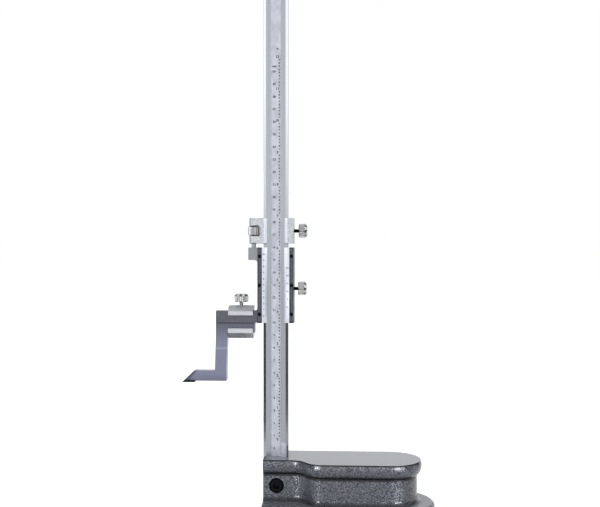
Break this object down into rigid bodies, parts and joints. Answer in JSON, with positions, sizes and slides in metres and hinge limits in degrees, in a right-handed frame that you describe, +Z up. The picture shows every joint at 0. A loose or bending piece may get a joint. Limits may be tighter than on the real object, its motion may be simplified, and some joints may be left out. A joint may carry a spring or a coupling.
{
  "type": "vernier height gauge",
  "caption": "Vernier height gauge: cast base, upright graduated beam, vernier slider with fine adjustment and lock screws, and a clamped carbide-tipped scriber for measuring and marking.",
  "frame": {"origin": "on the base's resting plane, under the centre of the beam", "axes": "+X from the beam towards the wide end of the base, +Y away from the scales, +Z up along the beam"},
  "size_m": [0.2007, 0.0703, 0.445],
  "materials": {
    "hammertone_casting": "grey hammertone paint, deck ground smooth",
    "beam_steel": "ground, satin scale band",
    "black_screw": "black oxide",
    "dark_steel": "dark ground steel",
    "brass": "plain",
    "satin_chrome": "satin",
    "bare_steel": "bare turned and milled steel",
    "knob_chrome": "polished, knurled",
    "satin_steel": "satin plated",
    "scriber_steel": "ground hardened steel",
    "carbide": "ground carbide"
  },
  "bodies": {
    "stand": {"base": "hammertone_casting", "beam": "beam_steel", "beam_clamp_screw": "black_screw"},
    "slider": {"slider_body": "dark_steel", "gib_strip": "brass", "gib_adjusting_screws": "black_screw", "left_vernier_plate": "satin_chrome", "right_vernier_plate": "satin_chrome", "left_retaining_strip": "dark_steel", "right_retaining_strip": "dark_steel", "left_vernier_screws": "black_screw", "right_vernier_screws": "black_screw", "rod_bracket": "bare_steel", "bracket_screws": "black_screw", "fine_adjust_rod": "bare_steel", "rod_pin": "bare_steel"},
    "slider_pad": {"slider_clamp_pad": "brass"},
    "slider_lock": {"slider_lock_stem": "black_screw", "slider_lock_knob": "knob_chrome"},
    "carriage": {"carriage_body": "satin_steel"},
    "carriage_pad": {"carriage_clamp_pad": "brass"},
    "carriage_lock": {"carriage_lock_stem": "black_screw", "carriage_lock_knob": "knob_chrome"},
    "nut": {"fine_adjust_nut": "knob_chrome"},
    "clamp": {"scriber_clamp": "satin_steel"},
    "clamp_pad": {"clamp_screw_pad": "brass"},
    "clamp_screw": {"clamp_screw_stem": "bare_steel", "clamp_screw_knob": "knob_chrome"},
    "scriber": {"scriber_body": "scriber_steel", "carbide_tip": "carbide"}
  },
  "joints": [
    {"name": "slider_slide", "type": "slide", "parent": "stand", "child": "slider", "axis": [0, 0, 1], "range_m": [-0.1055, 0.1945]},
    {"name": "slider_pad_slide", "type": "slide", "parent": "slider", "child": "slider_pad", "axis": [1, 0, 0], "range_m": [0, 0.0005]},
    {"name": "slider_lock_turn", "type": "hinge", "parent": "slider_pad", "child": "slider_lock", "pos_m": [0.0178, 0, 0.1805], "axis": [1, 0, 0], "range_deg": [0, 360]},
    {"name": "carriage_slide", "type": "slide", "parent": "slider", "child": "carriage", "axis": [0, 0, 1], "range_m": [-0.0028, 0.005]},
    {"name": "nut_turn", "type": "hinge", "parent": "carriage", "child": "nut", "pos_m": [-0.0181, 0, 0.22655], "axis": [0, 0, 1], "range_deg": [-2016, 3600]},
    {"name": "carriage_pad_slide", "type": "slide", "parent": "carriage", "child": "carriage_pad", "axis": [1, 0, 0], "range_m": [0, 0.0005]},
    {"name": "carriage_lock_turn", "type": "hinge", "parent": "carriage_pad", "child": "carriage_lock", "pos_m": [0.0183, 0, 0.22655], "axis": [1, 0, 0], "range_deg": [0, 360]},
    {"name": "clamp_slide", "type": "slide", "parent": "slider", "child": "clamp", "axis": [-1, 0, 0], "range_m": [-0.0003, 0.009]},
    {"name": "clamp_pad_slide", "type": "slide", "parent": "clamp", "child": "clamp_pad", "axis": [0, 0, 1], "range_m": [0, 0.0006]},
    {"name": "clamp_screw_turn", "type": "hinge", "parent": "clamp_pad", "child": "clamp_screw", "pos_m": [-0.028, 0.0004, 0.1696], "axis": [0, 0, 1], "range_deg": [0, 360]},
    {"name": "scriber_slide", "type": "slide", "parent": "clamp", "child": "scriber", "axis": [-1, 0, 0], "range_m": [0, 0.012]}
  ],
  "couplings": [
    {"joint": "nut_turn", "follows": "carriage_slide", "rad_per_m": 12566},
    {"joint": "slider_lock_turn", "follows": "slider_pad_slide", "rad_per_m": 12566},
    {"joint": "carriage_lock_turn", "follows": "carriage_pad_slide", "rad_per_m": 12566},
    {"joint": "clamp_screw_turn", "follows": "clamp_pad_slide", "rad_per_m": 10472}
  ]
}
